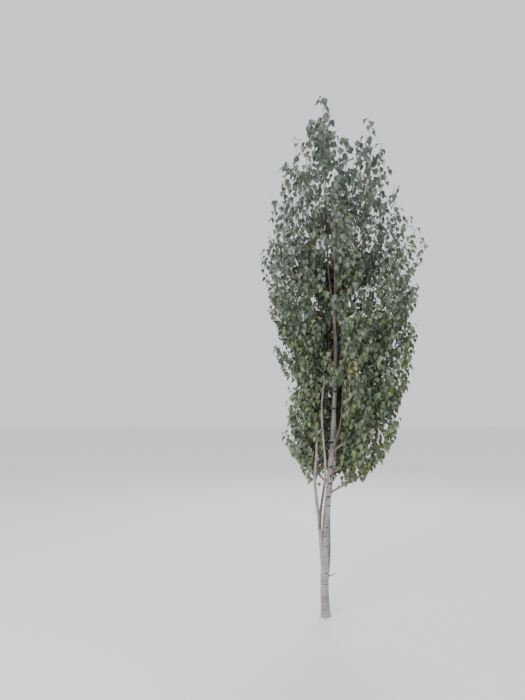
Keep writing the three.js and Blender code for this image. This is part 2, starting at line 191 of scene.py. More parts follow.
# How leaves stand, how far they may reach out of their egg and into another's space, and their sizes
LEAF_TIP_REACH = 0.045
LEAF_TIP_FALL = 0.9
LEAF_OVERHANG = 0.068
SHOOT_OVERHANG = 0.09
LEAF_CLEARANCE = -0.02
LEAF_SIDE_ANGLE = 1.2
LEAF_SIDE_PLAY = 1.3
LEAF_TILT_PLAY = 0.7
LEAF_ROLL_PLAY = 1.0
LEAF_SIZE = 0.86
LEAF_SIZE_GAIN = 0.42
SIZE_HEIGHTS = (3.5, 4.7)
LEAF_SIZE_PLAY = 0.2

# One leaf: its stalk, blade, teeth and veins
STALK_LENGTH = 0.018
STALK_RADIUS = 0.0007
STALK_ARCH = 0.002
BLADE_LENGTH = 0.06
BLADE_HALF_WIDTH = 0.0235
BLADE_SHARES = [0, 0.03, 0.12, 0.28, 0.45, 0.62, 0.8, 0.92, 1]
BLADE_WIDTHS = [0.05, 0.4, 0.84, 1, 0.86, 0.6, 0.28, 0.1, 0]
BLADE_WAVE = 0.0012
TOOTH_TIPS = [0.13, 0.28, 0.44, 0.61, 0.8]
TOOTH_NOTCHES = [0.2, 0.36, 0.52, 0.7]
TOOTH_OUT = 1.06
TOOTH_IN = 0.92
RIB_SHARES = [0, 0.2, 0.44, 0.7, 1]
RIB_STEPS = 12
VEINS = 8
VEIN_LEAN = 0.7
# How far each kind of leaf droops and curls, and how steeply its halves fold up, in radians
LEAF_KINDS = [(0.95, 0.6, 0.3), (1.2, 0.5, 0.25), (1.4, 0.5, 0.35), (1.55, 0.25, 0.45)]

# Scars on the front of the trunk: height, azimuth in degrees, width and height of the mark
TRUNK_SCARS = [
    (0.284, -82, 0.0405, 0.009), (0.379, -70, 0.0486, 0.011), (0.518, -100, 0.0351, 0.009),
    (0.61, -64, 0.0459, 0.011), (0.7, -96, 0.0378, 0.012), (0.775, -74, 0.0405, 0.013),
    (0.97, -66, 0.0567, 0.015), (1.05, -98, 0.0594, 0.018), (1.17, -80, 0.066, 0.017),
    (1.32, -88, 0.066, 0.021), (1.545, -100, 0.066, 0.03), (1.86, -78, 0.066, 0.015),
    (2.02, -90, 0.066, 0.021),
]
# Further scars by rule: on the trunk's sides and back, over each bough, and on the lesser limbs
BACK_SCARS = 22
BACK_SCAR_FIRST = 0.18
BACK_SCAR_SPACING = 0.1
BACK_SCAR_PLAY = 0.7
BACK_SCAR_TURNS = (-25, 215)
BACK_SCAR_WIDTHS = (0.03, 0.06)
BACK_SCAR_HEIGHTS = (0.008, 0.016)
BOUGH_SCAR_HEIGHT = 0.009
STEM_SCAR_SPACING = 0.17
STEM_KNOT = (0.006, 0.009)
STUB_KNOT = (0.011, 0.016)
STUB_SCAR = (0.02, 0.006)
# A scar bows down to its sides and has a raised lip over it. A knot swells by a share of its width.
SCAR_BOW = 0.2
SCAR_WAVE = 0.12
SCAR_LIP = 0.0012
SCAR_DEPTH = 0.0009
KNOT_SWELL = 0.28
# The bark's faint unevenness: how many waves it is made of, their share of the radius, and the
# ranges of their turns round a limb, rates along it, phases and depths
RIPPLES = 9
RIPPLE_SHARE = 0.012
RIPPLE_TURNS = (0, 4)
RIPPLE_RANGES = [(60, 190), (0, 6.3), (0.1, 0.32)]
FOOT_FADE = 0.02
# The limb radii between which the copper of young wood gives way to white
YOUNG_RADII = (0.0065, 0.0115)
STEM_YOUNG_RADII = (0.0035, 0.0075)
NOT_BROWN = (0.0, 0.0, 1.0)

# Raised pores and curls of paper bark: sizes, and how many there are of each on a limb
PORE_LENGTHS = [0.007, 0.011, 0.016]
PORE_HEIGHT = 0.0018
PORE_RISE = 0.0006
BARK_SINK = 0.0008
CURL_LENGTH = 0.012
CURL_WIDTH = 0.006
CURL_NARROWING = 0.55
CURL_STEPS = 6
CURL_TURNS = [1.2, 2.4]
DETAIL_KINDS = ([0, 1, 2], [3, 4])
DETAIL_SIZE_PLAY = 0.4
DETAIL_LEAN = 0.3
TRUNK_BARK_SPAN = (0.04, 2.6)
TRUNK_BARK_COUNTS = (560, 34)
STEM_BARK_SPAN = (0.12, 0.9)
STEM_BARK_COUNTS = (90, 4)

# How far apart the limbs' rings are: on the trunk closer up to a height than above it
TRUNK_FINE_TOP = 1.6
TRUNK_RINGS = (0.005, 0.018)
STEM_RINGS = 0.008
BOUGH_RINGS = 0.014
TWIG_RINGS = 0.035

# Colours of the bark, and the darker and the lighter tone of each tint of leaf
BARK_WHITE = "#A3A09E"
BARK_LILAC = "#837E82"
BARK_DARK = "#262122"
BARK_COPPER = "#75584C"
TWIG_BROWN = "#423A36"
LENTICEL = "#5F5653"
LENTICEL_DARK = "#4A4340"
PAPER = "#BFA592"
PAPER_PALE = "#D8CFC6"
LEAF_RIB = "#B7B878"
LEAF_TINTS = [
    ("#4D5957", "#66736C"), ("#4C5A50", "#667565"), ("#505D4B", "#6D7C61"),
    ("#5A674B", "#7B8862"), ("#6F7750", "#8F9564"), ("#837F50", "#A59D66"),
]
# A spray's tint is drawn from a range that widens and rises down the crown. A few are yellower.
TINT_HEIGHTS = (1.6, 4.4)
TINT_RANGE = 2.0
TINT_RANGE_GAIN = 1.2
TINT_LIFT = 1.1
YELLOW_ODDS = 0.006
YELLOW_ODDS_GAIN = 0.05
YELLOW_LIFT = 2


def seeded(seed):
    """Numbers from 0 to 1 in an order fixed by the seed, as in the CAD."""
    state = seed * 2654435761 % 2**32
    while True:
        state = (state * 1664525 + 1013904223) % 2**32
        yield state / 2**32


def unit(v):
    return v / np.linalg.norm(v)


def smooth(value, low, high):
    """0 below low, 1 above high, with an even bend between."""
    t = np.clip((value - low) / (high - low), 0, 1)
    return t * t * (3 - 2 * t)


def blend(first, last, share):
    return first + (last - first) * share


def between(ends, random):
    return blend(*ends, next(random))


def spread(number, play):
    """A factor from 1 - play to 1 + play, by a number from 0 to 1."""
    return 1 - play + 2 * play * number


def towards(azimuth, rise=0):
    return np.array([math.cos(azimuth), math.sin(azimuth), rise])


def curve_through(points, per_span=24):
    """A centripetal Catmull-Rom curve, sampled."""
    p = np.array(points, float)
    p = np.vstack([2 * p[0] - p[1], p, 2 * p[-1] - p[-2]])
    line = []
    for a, b, c, d in zip(p, p[1:], p[2:], p[3:]):
        before, span, after = (np.linalg.norm(v) ** 0.5 for v in (b - a, c - b, d - c))
        leave = ((b - a) / before - (c - a) / (before + span) + (c - b) / span) * span
        arrive = ((c - b) / span - (d - b) / (span + after) + (d - c) / after) * span
        t = np.linspace(0, 1, per_span, endpoint=False)[:, None]
        bend = 3 * (c - b) - 2 * leave - arrive
        line.append(b + leave * t + bend * t**2 + (leave + arrive - 2 * (c - b)) * t**3)
    return np.vstack([*line, p[-2]])


def bezier(a, b, c, d, samples=32):
    t = np.linspace(0, 1, samples)[:, None]
    return a * (1 - t) ** 3 + 3 * b * t * (1 - t) ** 2 + 3 * c * t**2 * (1 - t) + d * t**3


def lengths_along(line):
    """Each point's distance from the start, along the line."""
    return np.concatenate([[0], np.cumsum(np.linalg.norm(np.diff(line, axis=0), axis=1))])


def point_at(line, distance):
    """The point and the direction at a distance along a line."""
    along = lengths_along(line)
    point = np.array([np.interp(distance, along, line[:, k]) for k in range(3)])
    i = min(max(int(np.searchsorted(along, distance)), 1), len(line) - 1)
    return point, unit(line[i] - line[i - 1])


def evenly(line, spacing):
    """The line again, with points about this far apart."""
    along = lengths_along(line)
    wanted = np.linspace(0, along[-1], max(int(round(along[-1] / spacing)), 2) + 1)
    return np.column_stack([np.interp(wanted, along, line[:, k]) for k in range(3)])


TRUNK = curve_through(TRUNK_LINE)


def trunk_at(height):
    """The point of the trunk's line at a height, carried on straight above its tip."""
    if height > TRUNK[-1, 2]:
        slope = (TRUNK[-1] - TRUNK[-3]) / (TRUNK[-1, 2] - TRUNK[-3, 2])
        return TRUNK[-1] + slope * (height - TRUNK[-1, 2])
    return np.array([np.interp(height, TRUNK[:, 2], TRUNK[:, k]) for k in range(3)])


def trunk_radius(height, angle):
    flare = FLARE_RADIUS * np.exp(-height / FLARE_HEIGHT)
    lobes = 1 + FLARE_LOBE_SHARE * np.cos(FLARE_LOBES * angle + FLARE_TURN)
    taper = TRUNK_FOOT_RADIUS * (1 - height / TREE_TOP) ** TRUNK_TAPER
    return taper + TRUNK_TIP_RADIUS + flare * lobes


def crown_eggs():
    """The eggs that the foliage masses fill, tier by tier, by the CAD's rule."""
    random = seeded(CROWN_SEED)
    eggs = []
    for t, (tier, count, middle, tier_reach, radius, first, slope, carriers) in enumerate(TIERS):
        for i in range(count):
            turn = math.radians(first + 360 / count * i + (next(random) * 2 - 1) * AZIMUTH_PLAY)
            reach = tier_reach * (1 + (next(random) * 2 - 1) * REACH_PLAY)
            height = middle + (0 if count == 1 else (next(random) * 2 - 1) * HEIGHT_PLAY)
            shift = np.array([CROWN_SHIFT if tier_reach > 0 else 0, 0, 0])
            centre = trunk_at(height) + towards(turn) * reach + shift
            half = radius * EGG_ASPECT
            root = centre - UP * ROOT_DEPTH * half
            if tier_reach > 0:
                root = root + unit(trunk_at(height) - centre) * ROOT_INSET * radius
            run = np.linalg.norm((trunk_at(root[2]) - root)[:2])
            foot = root[2] - slope * run - BOUGH_STAGGER * (i * GOLDEN_SHARE % 1)
            top = centre + UP * SHOOT_TOP * half
            label = tier if count == 1 else f"{tier}_{i + 1}"
            egg = {"tier": tier, "label": label, "carrier": carriers.get(i), "seed": 100 * (t + 1) + i}
            eggs.append(egg | {"centre": centre, "radius": radius, "root": root, "top": top, "foot": foot})
    return eggs


EGGS = crown_eggs()
CENTRES = np.array([egg["centre"] for egg in EGGS])
RADII = np.array([egg["radius"] for egg in EGGS])
SQUASH = np.array([1, 1, EGG_ASPECT])
APART = np.linalg.norm((CENTRES[:, None] - CENTRES[None]) / SQUASH, axis=2)


def in_space(index, point, clearance=CELL_CLEARANCE, overhang=0.0):
    """True where a point lies in an egg, which is blunt below and pointed above, and in no other
    mass's share of space. overhang moves the egg's own outline out."""
    offset = (point - CENTRES) / SQUASH
    power = (offset**2).sum(1) - RADII**2
    radius = RADII[index]
    along = offset[index, 2] * EGG_ASPECT / (radius * EGG_ASPECT + overhang)
    if abs(along) >= 1:
        return False
    share = 1 - along**EGG_POINT if along > 0 else math.sqrt(1 - (-along) ** EGG_BLUNTNESS)
    if math.hypot(offset[index, 0], offset[index, 1]) >= radius * share + overhang:
        return False
    spare = power - power[index] - 2 * clearance * APART[index]
    spare[index] = 1
    return bool((spare > 0).all())


def before_trunk(point):
    """True in the slits on the crown's front."""
    low = 1 - smooth(point[2], *SLIT_CHANGE)
    if not SLIT_SPAN[0] < point[2] < SLIT_SPAN[1]:
        return False
    if low < 1 and math.sin(point[2] * SLIT_WAVES) < SLIT_CUT:
        return False
    trunk = trunk_at(point[2])
    sight = unit((trunk - CAMERA_PLACE) * (1, 1, 0))
    offset = point - trunk
    across = offset[0] * sight[1] - offset[1] * sight[0]
    return offset[1] < 0 and abs(across) < blend(*SLIT_WIDTHS, low)


def bough_of(egg):
    """A bough's line and radii from the trunk to its egg's root, and how it arrives there."""
    root = egg["root"]
    foot = trunk_at(egg["foot"])
    outward = unit((root - foot) * [1, 1, 0])
    length = np.linalg.norm(root - foot)
    leave = unit(outward + BOUGH_LEAVE_SLOPE * UP)
    arrive = unit(BOUGH_END_LEAN * outward + UP)
    handle = BOUGH_HANDLE * length
    line = bezier(foot, foot + leave * handle, root - arrive * handle, root)
    most = BOUGH_TRUNK_SHARE * trunk_radius(foot[2], 0)
    thick = min(BOUGH_TIP_RADIUS + BOUGH_THICKENING * length, most)
    thin = min(BOUGH_TIP_RADIUS, BOUGH_TAPER * thick)
    return line, (thick, thin), arrive


def shoot_of(egg):
    """A mass's own shoot goes on from the limb that carries it, up to the top of the egg."""
    start, top = egg["root"], egg["top"]
    handle = SHOOT_HANDLE * np.linalg.norm(top - start)
    return bezier(start, start + egg["arrive"] * handle, top - UP * handle, top)


def grow(index, start, heading, steps, random):
    """A twig's points: it turns upwards at each step and stops where its mass's space ends."""
    line = [start]
    for _ in range(steps):
        ahead = line[-1] + heading * TWIG_STEP
        if before_trunk(ahead) or (index is not None and not in_space(index, ahead)):
            break
        line.append(ahead)
        sway = np.array([next(random) - 0.5, next(random) - 0.5, 0]) * 2 * TWIG_WANDER
        heading = unit(heading + TWIG_TURN_UP * UP + sway)
    return np.array(line)


def leaf_spacing(point):
    """How far apart the leaves are on a twig that ends at a point."""
    axis = trunk_at(point[2])
    across = math.hypot(point[0] - axis[0] - CROWN_SHIFT, point[1] - axis[1])
    rim = smooth(across, *RIM_REACH) * (smooth(point[2], *RIM_FOOT) - smooth(point[2], *RIM_TOP))
    spacing = blend(*LEAF_SPACING, smooth(point[2], *SPACING_HEIGHTS))
    return spacing * (1 + RIM_THINNING * rim)


def hang(line, first, azimuth, index, spray, random, leaves, spiral=False):
    """Leaves along a line, alternate or in a spiral, with the last one at its tip."""
    at, side = first, 1
    end = lengths_along(line)[-1]
    spacing = SHOOT_LEAF_SPACING if spiral else leaf_spacing(line[-1])
    overhang = SHOOT_OVERHANG if spiral else LEAF_OVERHANG
    while at <= end:
        point, _ = point_at(line, at)
        side_turn = 0 if end - at < spacing / 2 else side * LEAF_SIDE_ANGLE
        turn = azimuth + side_turn + (next(random) - 0.5) * LEAF_SIDE_PLAY
        tip = point + towards(turn, -LEAF_TIP_FALL) * LEAF_TIP_REACH
        tilt, roll, size = next(random), next(random), next(random)
        inside = index is None or in_space(index, tip, LEAF_CLEARANCE, overhang)
        if inside and not before_trunk(tip):
            leaves.append((point, turn, tilt, roll, size, spray))
        at += spacing * spread(next(random), LEAF_SPACING_PLAY)
        side = -side
        azimuth += GOLDEN_ANGLE if spiral else 0


def grow_twig(index, start, azimuth, steps, spray, random, limbs, leaves):
    """A twig with its alternate side twigs and the leaves on them all."""
    rise = blend(*TWIG_RISE, smooth(start[2], *RISE_HEIGHTS))
    heading = unit(towards(azimuth, rise))
    twig = grow(index, start, heading, steps, random)
    if len(twig) < 3:
        return
    limbs.append((twig, TWIG_RADIUS, TWIG_TIP_RADIUS))
    hang(twig, SIDE_SPACING / 2, azimuth, index, spray, random, leaves)
    reach = lengths_along(twig)[-1]
    at, side = SIDE_SPACING, 1
    while at < reach - SIDE_SPACING / 2:
        spray = (spray[0], spray[1] + SPRAYS)
        start, along = point_at(twig, at)
        turn = azimuth + side * SIDE_ANGLE
        heading = unit(towards(turn, SIDE_RISE + along[2]))
        steps = round(between(SIDE_STEPS, random))
        branchlet = grow(index, start, heading, steps, random)
        if len(branchlet) > 1:
            limbs.append((branchlet, SIDE_RADIUS, TWIG_TIP_RADIUS))
            hang(branchlet, LEAF_SPACING[0] * SIDE_BARE_SHARE, turn, index, spray, random, leaves)
        at += SIDE_SPACING
        side = -side


def grow_mass(index):
    """A mass's limbs, as lines with end radii, and its leaves, each a place with a turn and a spray."""
    egg = EGGS[index]
    shoot = shoot_of(egg)
    random = seeded(egg["seed"])
    length = lengths_along(shoot)[-1]
    limbs = [(shoot, min(egg["thick"], SHOOT_RADIUS), SHOOT_TIP_RADIUS)]
    leaves = []
    first = next(random) * 2 * math.pi
    spire = smooth(egg["centre"][2], *SPIRE_HEIGHTS)
    count = round(blend(*TWIGS, spire))
    span = blend(*TWIG_SPAN, spire)
    for i in range(count):
        start, _ = point_at(shoot, (TWIG_FIRST + span * i / (count - 1)) * length)
        steps = int(between(TWIG_STEPS, random) * (1 - TWIG_SHORTENING * spire))
        azimuth = first + i * GOLDEN_ANGLE
        grow_twig(index, start, azimuth, steps, (egg["seed"], i), random, limbs, leaves)
    spray = (egg["seed"], TWIGS[0])
    hang(shoot, length * SHOOT_BARE_SHARE, first, index, spray, random, leaves, spiral=True)
    return limbs, leaves


def grow_inside(name, seed):
    """Leafy twigs on the trunk, a stem or a bough, which fill the crown's middle."""
    line = trunk_rings if name == "trunk" else LIMBS[name][0]
    (low, high), added, bare = next(values for kind, values in INSIDE.items() if kind in name)
    seed += added
    random = seeded(seed)
    limbs, leaves = [], []
    first = next(random) * 2 * math.pi
    reach = lengths_along(line)[-1]
    at, i = low * reach, 0
    while at < high * reach:
        start, _ = point_at(line, at)
        height = start[2]
        steps = int(between(INSIDE_STEPS, random))
        azimuth = first + i * GOLDEN_ANGLE
        if math.sin(azimuth) > bare:
            grow_twig(None, start, azimuth, steps, (seed, i), random, limbs, leaves)
        gap = max(smooth(height, *foot) - smooth(height, *top) for foot, top in TIER_GAPS)
        thinner = 1 + INSIDE_THINNING * smooth(height, *THIN_HEIGHTS) - INSIDE_CROWDING * gap
        at += INSIDE_SPACING * thinner * spread(next(random), INSIDE_PLAY)
        i += 1
    return limbs, leaves


def colour(hex_code):
    """An sRGB hex colour as linear RGBA."""
    parts = [int(hex_code[i : i + 2], 16) / 255 for i in (1, 3, 5)]
    return (*[c / 12.92 if c <= 0.04045 else ((c + 0.055) / 1.055) ** 2.4 for c in parts], 1)


def grey(value):
    return (value, value, value, 1)


def feed(tree, node, inputs):
    """Sets a node's inputs, each to a value or from a socket."""
    for name, value in dict(inputs).items():
        if isinstance(value, bpy.types.NodeSocket):
            tree.links.new(value, node.inputs[name])
        else:
            node.inputs[name].default_value = value


def add(tree, kind, inputs=(), **settings):
    """Adds a node: settings are its own fields, inputs are values or sockets to link."""
    made = tree.nodes.new(kind)
    for name, value in settings.items():
        setattr(made, name, value)
    feed(tree, made, inputs)
    return made


def output(tree, kind, inputs=(), **settings):
    """Adds a node and gives its first output."""
    return add(tree, kind, inputs, **settings).outputs[0]


def object_place(tree):
    return add(tree, "ShaderNodeTexCoord").outputs["Object"]


def attribute(tree, name):
    return add(tree, "ShaderNodeAttribute", attribute_name=name).outputs["Fac"]


def noise(tree, place, scale, detail):
    return add(tree, "ShaderNodeTexNoise", {"Vector": place, "Scale": scale, "Detail": detail}).outputs["Fac"]


def stretched(tree, place, scale):
    return output(tree, "ShaderNodeMapping", {"Vector": place, "Scale": scale})


def figure(tree, operation, *values):
    return output(tree, "ShaderNodeMath", enumerate(values), operation=operation)


def ranged(tree, value, *ends):
    """A value carried from one range to another."""
    return output(tree, "ShaderNodeMapRange", {"Value": value, **dict(enumerate(ends, 1))})


def mixed(tree, factor, below, above):
    return add(tree, "ShaderNodeMix", {0: factor, 6: below, 7: above}, data_type="RGBA").outputs[2]


def ramp(tree, factor, *stops):
    """A colour for a value, by two stops: a position and a colour each."""
    made = add(tree, "ShaderNodeValToRGB", {"Fac": factor})
    for element, (position, shade) in zip(made.color_ramp.elements, stops):
        element.position = position
        element.color = shade
    return made.outputs[0]


def new_material(name):
    """An empty node material with its surface shader linked."""
    material = bpy.data.materials.new(name)
    material.use_nodes = True
    tree = material.node_tree
    tree.nodes.clear()
    surface = add(tree, "ShaderNodeBsdfPrincipled")
    add(tree, "ShaderNodeOutputMaterial", {"Surface": surface.outputs[0]})
    return material, tree, surface


def bark_material():
    """Birch bark: papery white with lilac-grey clouds, short level dashes of lenticels, black scars
    where limbs left, and copper where the wood is young. The dashes are drawn about 4 mm high, not
    the real 1 to 2 mm, or they would be lost."""
    material, tree, surface = new_material("birch_bark")
    place = object_place(tree)
    clouds = noise(tree, place, 9.0, 4.0)
    dashes = noise(tree, stretched(tree, place, (26, 26, 170)), 1.0, 2.0)
    bands = noise(tree, stretched(tree, place, (14, 14, 42)), 1.0, 3.0)
    grain = noise(tree, place, 240.0, 3.0)
    white = ramp(tree, clouds, (0.36, colour(BARK_LILAC)), (0.56, colour(BARK_WHITE)))
    sheets = ramp(tree, bands, (0.42, grey(0)), (0.7, grey(0.45)))
    sheeted = mixed(tree, sheets, white, colour(PAPER))
    dashed = ramp(tree, dashes, (0.63, grey(0)), (0.68, grey(0.9)))
    marked = mixed(tree, dashed, sheeted, colour(LENTICEL))
    copper = mixed(tree, clouds, colour(TWIG_BROWN), colour(BARK_COPPER))
    aged = mixed(tree, attribute(tree, "young"), marked, copper)
    ragged = figure(tree, "MULTIPLY", dashes, 0.5)
    scar = figure(tree, "ADD", attribute(tree, "scar"), ragged)
    black = ramp(tree, scar, (0.62, grey(0)), (0.8, grey(1)))
    scarred = mixed(tree, black, aged, colour(BARK_DARK))
    rough = ranged(tree, bands, 0.0, 1.0, 0.55, 0.85)
    relief = figure(tree, "ADD", figure(tree, "ADD", dashed, bands), grain)
    bump = output(tree, "ShaderNodeBump", {"Height": relief, "Strength": 0.6, "Distance": 0.0012})
    feed(tree, surface, {"Base Color": scarred, "Roughness": rough, "Normal": bump})
    return material


def twig_material():
    """Smooth young bark, reddish brown and a little glossy, with pale specks of resin glands, which
    are drawn at 3 mm, larger than life."""
    material, tree, surface = new_material("young_birch_bark")
    place = object_place(tree)
    clouds = noise(tree, place, 14.0, 3.0)
    specks = add(tree, "ShaderNodeTexVoronoi", {"Vector": place, "Scale": 160.0}).outputs["Distance"]
    brown = ramp(tree, clouds, (0.35, colour(TWIG_BROWN)), (0.68, colour(BARK_COPPER)))
    near = ramp(tree, specks, (0.1, grey(0.5)), (0.22, grey(0)))
    specked = mixed(tree, near, brown, colour(PAPER))
    bump = output(tree, "ShaderNodeBump", {"Height": clouds, "Distance": 0.0006})
    feed(tree, surface, {"Base Color": specked, "Roughness": 0.5, "Normal": bump})
    return material


def flake_material(name, dark, light):
    """Dry outer bark in flakes or pores: two tones in patches of about 12 mm, dull as paper."""
    material, tree, surface = new_material(name)
    patches = noise(tree, object_place(tree), 80.0, 2.0)
    toned = ramp(tree, patches, (0.38, colour(dark)), (0.62, colour(light)))
    feed(tree, surface, {"Base Color": toned, "Roughness": 0.8})
    return material


def leaf_material(number, dark, light):
    """A leaf blade of one tint: a paler rib and side veins on its own map, a tone of its own for each
    leaf, and a soft waxy sheen."""
    material, tree, surface = new_material(f"birch_leaf_tint_{number}")
    own = output(tree, "ShaderNodeUVMap", uv_map="UVMap")
    across, along, _ = add(tree, "ShaderNodeSeparateXYZ", {0: own}).outputs
    side = figure(tree, "ABSOLUTE", figure(tree, "SUBTRACT", across, 0.5))
    lean = figure(tree, "MULTIPLY_ADD", side, -VEIN_LEAN, along)
    veins = figure(tree, "COSINE", figure(tree, "MULTIPLY", lean, VEINS * 2 * math.pi))
    veined = ranged(tree, veins, 0.86, 1.0, 0.0, 0.35)
    rib = ranged(tree, side, 0.03, 0.0, 0.0, 0.55)
    lines = figure(tree, "MAXIMUM", veined, rib)
    mottle = noise(tree, object_place(tree), 60.0, 2.0)
    toned = figure(tree, "MULTIPLY_ADD", mottle, 0.35, attribute(tree, "tone"))
    blade = mixed(tree, toned, colour(dark), colour(light))
    pale = mixed(tree, 0.5, blade, colour(LEAF_RIB))
    drawn = mixed(tree, lines, blade, pale)
    sunk = {"Height": lines, "Strength": 0.4, "Distance": 0.0008}
    bump = output(tree, "ShaderNodeBump", sunk, invert=True)
    feed(tree, surface, {"Base Color": drawn, "Roughness": 0.42, "Normal": bump})
    return material


def new_mesh(name, vertices, faces=(), edges=()):
    mesh = bpy.data.meshes.new(name)
    mesh.from_pydata([tuple(v) for v in vertices], edges, faces)
    return mesh


def new_object(name, data):
    """An object in the scene."""
    made = bpy.data.objects.new(name, data)
    bpy.context.scene.collection.objects.link(made)
    return made


def give(mesh, name, values, kind="FLOAT"):
    """Writes a value for each point of a mesh."""
    layer = mesh.attributes.new(name, kind, "POINT")
    layer.data.foreach_set("vector" if kind == "FLOAT_VECTOR" else "value", np.ravel(values))


def shade_smooth(mesh):
    mesh.polygons.foreach_set("use_smooth", np.ones(len(mesh.polygons), bool))


def finish_piece(made, nodes):
    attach(made, "root")
    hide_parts(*nodes)


def geometry_group(name, inputs):
    """A geometry node tree with these inputs, and its input node's sockets."""
    group = bpy.data.node_groups.new(name, "GeometryNodeTree")
    for label, kind in [("Geometry", "NodeSocketGeometry"), *inputs]:
        group.interface.new_socket(label, in_out="INPUT", socket_type=kind)
    group.interface.new_socket("Geometry", in_out="OUTPUT", socket_type="NodeSocketGeometry")
    return group, add(group, "NodeGroupInput").outputs


def baked(made, group, label, value):
    """Runs a node tree on an object, with a value for its input, and keeps the result as its mesh."""
    modifier = made.modifiers.new(group.name, "NODES")
    modifier.node_group = group
    for item in group.interface.items_tree:
        if item.name == label:
            modifier[item.identifier] = value
    graph = bpy.context.evaluated_depsgraph_get()
    shown = made.evaluated_get(graph)
    mesh = bpy.data.meshes.new_from_object(shown, preserve_all_data_layers=True, depsgraph=graph)
    made.modifiers.clear()
    made.data = mesh
    mesh.name = made.name
    return made


def named(group, label, data_type):
    """A value that the points carry."""
    return output(group, "GeometryNodeInputNamedAttribute", {"Name": label}, data_type=data_type)


def twig_group(material):
    """Turns lines with a radius at each point into closed tubes."""
    group, source = geometry_group("twigs_from_lines", [("Sides", "NodeSocketInt")])
    curve = output(group, "GeometryNodeMeshToCurve", {"Mesh": source["Geometry"]})
    ring = output(group, "GeometryNodeCurvePrimitiveCircle", {"Resolution": source["Sides"], "Radius": 1.0})
    thick = named(group, "thick", "FLOAT")
    swept = {"Curve": curve, "Profile Curve": ring, "Scale": thick, "Fill Caps": True}
    tube = output(group, "GeometryNodeCurveToMesh", swept)
    soft = output(group, "GeometryNodeSetShadeSmooth", {"Geometry": tube})
    real = output(group, "GeometryNodeRealizeInstances", {"Geometry": soft})
    skin = output(group, "GeometryNodeSetMaterial", {"Geometry": real, "Material": material})
    add(group, "NodeGroupOutput", {"Geometry": skin})
    return group


# What each point of a scatter carries besides its place
ROW_VALUES = {"turn": "FLOAT_VECTOR", "size": "FLOAT", "kind": "INT", "tint": "INT", "tone": "FLOAT"}


def scatter_group(name, materials):
    """Sets one of a collection's shapes on each point, and gives each its material by number."""
    group, source = geometry_group(name, [("Shapes", "NodeSocketCollection")])
    apart = {"Collection": source["Shapes"], "Separate Children": True, "Reset Children": True}
    shapes = output(group, "GeometryNodeCollectionInfo", apart)
    turn, size, kind, tint, _ = (named(group, *pair) for pair in ROW_VALUES.items())
    placing = {"Points": source["Geometry"], "Instance": shapes, "Pick Instance": True}
    turned = output(group, "FunctionNodeEulerToRotation", {0: turn})
    placing |= {"Instance Index": kind, "Rotation": turned, "Scale": size}
    placed = output(group, "GeometryNodeInstanceOnPoints", placing)
    shown = output(group, "GeometryNodeRealizeInstances", {"Geometry": placed})
    equal = {"data_type": "INT", "operation": "EQUAL"}
    for number, material in enumerate(materials):
        chosen = output(group, "FunctionNodeCompare", {2: tint, 3: number}, **equal)
        coat = {"Geometry": shown, "Selection": chosen, "Material": material}
        shown = output(group, "GeometryNodeSetMaterial", coat)
    add(group, "NodeGroupOutput", {"Geometry": shown})
    return group


def leaf_shape(name, droop, curl, fold):
    """A leaf: a stalk that stands out along +Y, and a toothed blade that droops from its end, with
    its halves folded up along the rib."""
    sides = [(TOOTH_TIPS, TOOTH_OUT), (TOOTH_NOTCHES, TOOTH_IN)]
    edge = [(0.03, 1.0)] + sorted((t, swing) for shares, swing in sides for t in shares)
    vertices, maps, faces = [], [], []

    def rib_point(t):
        steps = (np.arange(RIB_STEPS) + 0.5) / RIB_STEPS * t
        angles = -droop - curl * (steps - 0.5)
        run = np.mean([np.cos(angles), np.sin(angles)], axis=1) * t * BLADE_LENGTH
        return np.array([0, STALK_LENGTH + run[0], run[1]])

    def add_point(t, x):
        lean = -droop - curl * (t - 0.5)
        normal = np.array([0, -math.sin(lean), math.cos(lean)])
        wave = BLADE_WAVE * math.sin(9 * t + 2 * x / BLADE_HALF_WIDTH)
        rise = abs(x) * math.sin(fold) + wave * abs(x) / BLADE_HALF_WIDTH
        vertices.append(rib_point(t) + np.array([x * math.cos(fold), 0, 0]) + normal * rise)
        maps.append((0.5 + 0.5 * x / BLADE_HALF_WIDTH / TOOTH_OUT, t))
        return len(vertices) - 1

    rib = [(t, add_point(t, 0)) for t in RIB_SHARES]
    for side in (1, -1):
        outer = [
            (t, add_point(t, side * swing * BLADE_HALF_WIDTH * np.interp(t, BLADE_SHARES, BLADE_WIDTHS)))
            for t, swing in edge
        ]
        outer.append(rib[-1])
        i = j = 0
        while i < len(rib) - 1 or j < len(outer) - 1:
            out_next = i == len(rib) - 1 or (j < len(outer) - 1 and outer[j + 1][0] <= rib[i + 1][0])
            third = outer[j + 1][1] if out_next else rib[i + 1][1]
            face = (rib[i][1], outer[j][1], third)
            if len(set(face)) == 3:
                faces.append(face if side > 0 else face[::-1])
            i, j = (i, j + 1) if out_next else (i + 1, j)
    first = len(vertices)
    for y in (0, STALK_LENGTH + 0.001):
        for k in range(3):
            angle = 2 * math.pi * k / 3 + math.pi / 2
            arch = STALK_ARCH * (1 - y / STALK_LENGTH)
            vertices.append((STALK_RADIUS * math.cos(angle), y, STALK_RADIUS * math.sin(angle) - arch))
            maps.append((0.5, 0.02))
    for k in range(3):
        faces.append((first + k, first + 3 + k, first + 3 + (k + 1) % 3, first + (k + 1) % 3))
    mesh = new_mesh(name, vertices, faces)
    own = mesh.uv_layers.new(name="UVMap")
    for loop in mesh.loops:
        own.data[loop.index].uv = maps[loop.vertex_index]
    shade_smooth(mesh)
    return mesh


